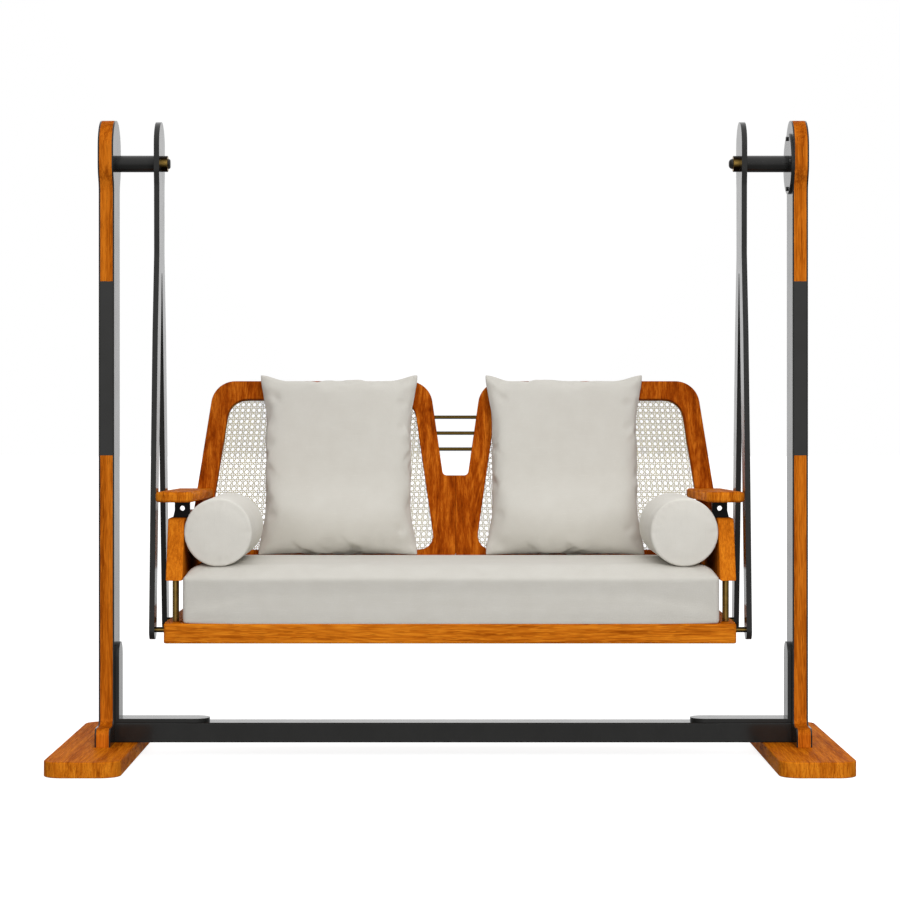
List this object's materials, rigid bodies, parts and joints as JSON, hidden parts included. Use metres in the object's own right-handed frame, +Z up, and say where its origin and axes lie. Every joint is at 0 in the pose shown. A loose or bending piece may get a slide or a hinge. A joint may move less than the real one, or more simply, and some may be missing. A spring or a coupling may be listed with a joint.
{
  "type": "porch swing",
  "caption": "Free-standing two-seat porch swing: cushioned wooden bench with cane back, hung by forked steel plates from a post stand.",
  "frame": {"origin": "on the ground below the middle of the stand, between the two foot boards", "axes": "+X along the bench to the sitter's left side seen from the front as right, +Y from the front of the seat to its back, +Z up"},
  "size_m": [2.306, 0.91, 1.904],
  "materials": {
    "oiled_wood": "satin oil",
    "dark_wood": "satin oil",
    "plain_wood": "planed",
    "cane": "woven cane",
    "black_steel": "satin powder coat",
    "brass": "brushed, slightly aged",
    "bright_steel": "turned",
    "nylon": "matte",
    "upholstery": "plain woven outdoor cloth"
  },
  "bodies": {
    "stand": {"crossbar": "black_steel", "left_axle_spindle": "bright_steel", "left_axle_tube": "black_steel", "left_cap_nut": "black_steel", "left_corner_bracket": "black_steel", "left_foot_board": "oiled_wood", "left_foot_screws": "bright_steel", "left_post_inner_plate": "black_steel", "left_post_lower_wood": "oiled_wood", "left_post_outer_plate": "black_steel", "left_post_steel_insert": "black_steel", "left_post_upper_wood": "oiled_wood", "left_thrust_washer": "nylon", "right_axle_flange": "black_steel", "right_axle_spindle": "bright_steel", "right_axle_tube": "black_steel", "right_cap_nut": "black_steel", "right_corner_bracket": "black_steel", "right_flange_bolts": "black_steel", "right_foot_board": "oiled_wood", "right_foot_screws": "bright_steel", "right_post_inner_plate": "black_steel", "right_post_lower_wood": "oiled_wood", "right_post_outer_plate": "black_steel", "right_post_steel_insert": "black_steel", "right_post_upper_wood": "oiled_wood", "right_thrust_washer": "nylon"},
    "swing": {"back_dowels": "dark_wood", "back_rods": "brass", "back_spindles": "brass", "front_seat_rail": "oiled_wood", "left_arm_riser": "black_steel", "left_armrest": "oiled_wood", "left_back_frame": "dark_wood", "left_bolster": "upholstery", "left_cane_panel": "cane", "left_hanger": "black_steel", "left_hanger_pins": "brass", "left_pillow": "upholstery", "left_pivot_bush": "brass", "left_seat_rail": "oiled_wood", "left_side_panel": "oiled_wood", "left_side_spindles": "brass", "rear_seat_rail": "oiled_wood", "right_arm_riser": "black_steel", "right_armrest": "oiled_wood", "right_back_frame": "dark_wood", "right_bolster": "upholstery", "right_cane_panel": "cane", "right_hanger": "black_steel", "right_hanger_pins": "brass", "right_pillow": "upholstery", "right_pivot_bush": "brass", "right_seat_rail": "oiled_wood", "right_side_panel": "oiled_wood", "right_side_spindles": "brass", "seat_cushion": "upholstery", "seat_slats": "plain_wood", "slat_ledgers": "plain_wood"}
  },
  "joints": [
    {"name": "swing_pivot", "type": "hinge", "parent": "stand", "child": "swing", "pos_m": [0, 0, 1.775], "axis": [1, 0, 0], "range_deg": [-25, 25]}
  ]
}
